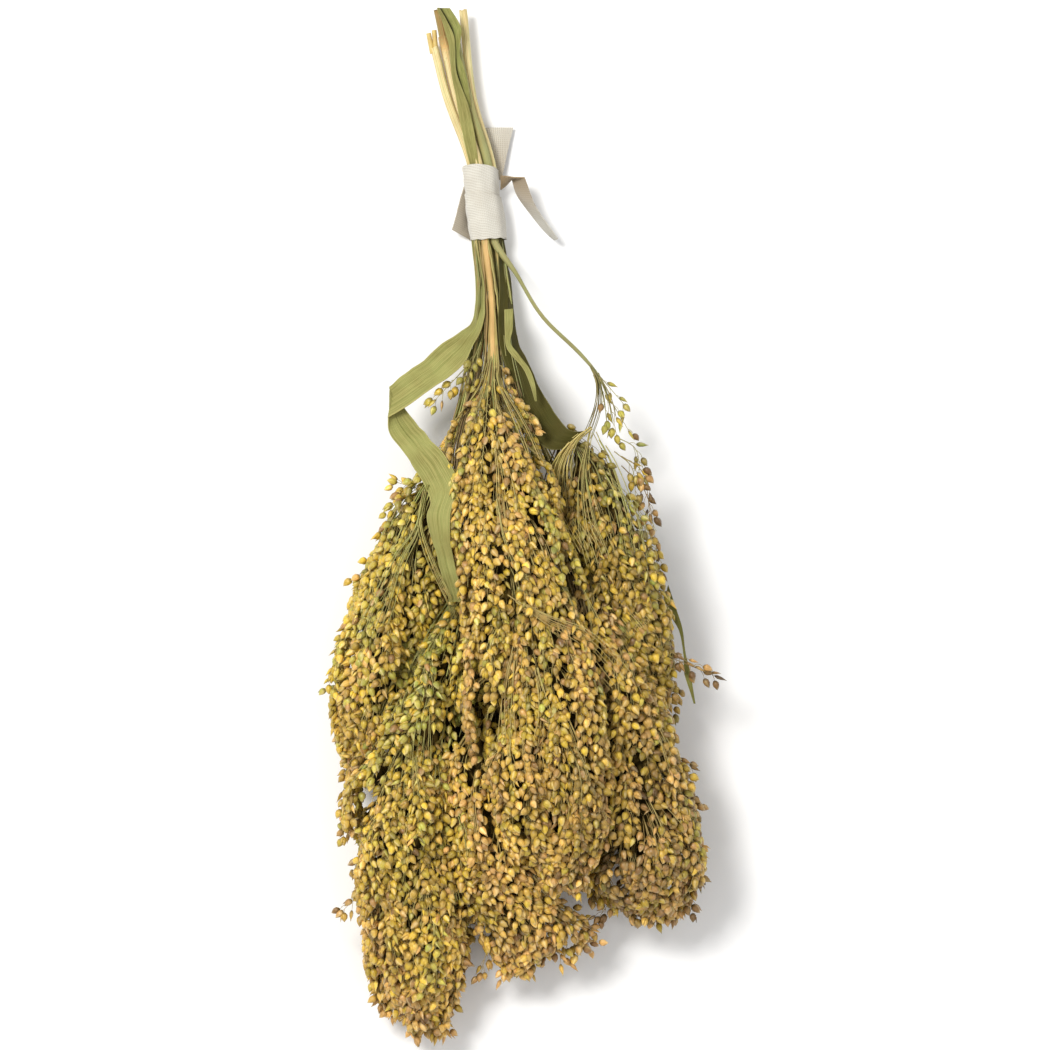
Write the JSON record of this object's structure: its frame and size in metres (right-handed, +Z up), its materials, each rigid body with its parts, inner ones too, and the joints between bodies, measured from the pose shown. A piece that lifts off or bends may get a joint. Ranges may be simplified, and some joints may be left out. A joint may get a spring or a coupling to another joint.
{
  "type": "tied bunch of dried millet seed heads",
  "caption": "Bunch of dried millet panicles with cut stems, dried leaves and a cotton tape tie, lying on its back on a flat surface.",
  "frame": {"origin": "on the surface that the bunch lies on, under the middle of its outline", "axes": "+Y along the bunch towards the cut stems, +X to the right seen from above with the stems up, +Z up from the surface"},
  "size_m": [0.1625, 0.4324, 0.0907],
  "materials": {
    "millet": "dry papery husks, golden tan to olive",
    "leaf": "dry ribbed blade, sage green",
    "tape": "unbleached cotton twill"
  },
  "bodies": {
    "root": {"panicle_front": "millet", "panicle_back": "millet", "panicle_left": "millet", "panicle_low_left": "millet", "panicle_low_centre": "millet", "panicle_right": "millet", "panicle_upper_right": "millet", "panicle_stray": "millet", "leaf_left": "leaf", "leaf_right": "leaf", "leaf_small": "leaf", "leaf_tip": "leaf", "leaf_cut": "leaf", "tape_tie": "tape"}
  },
  "joints": []
}
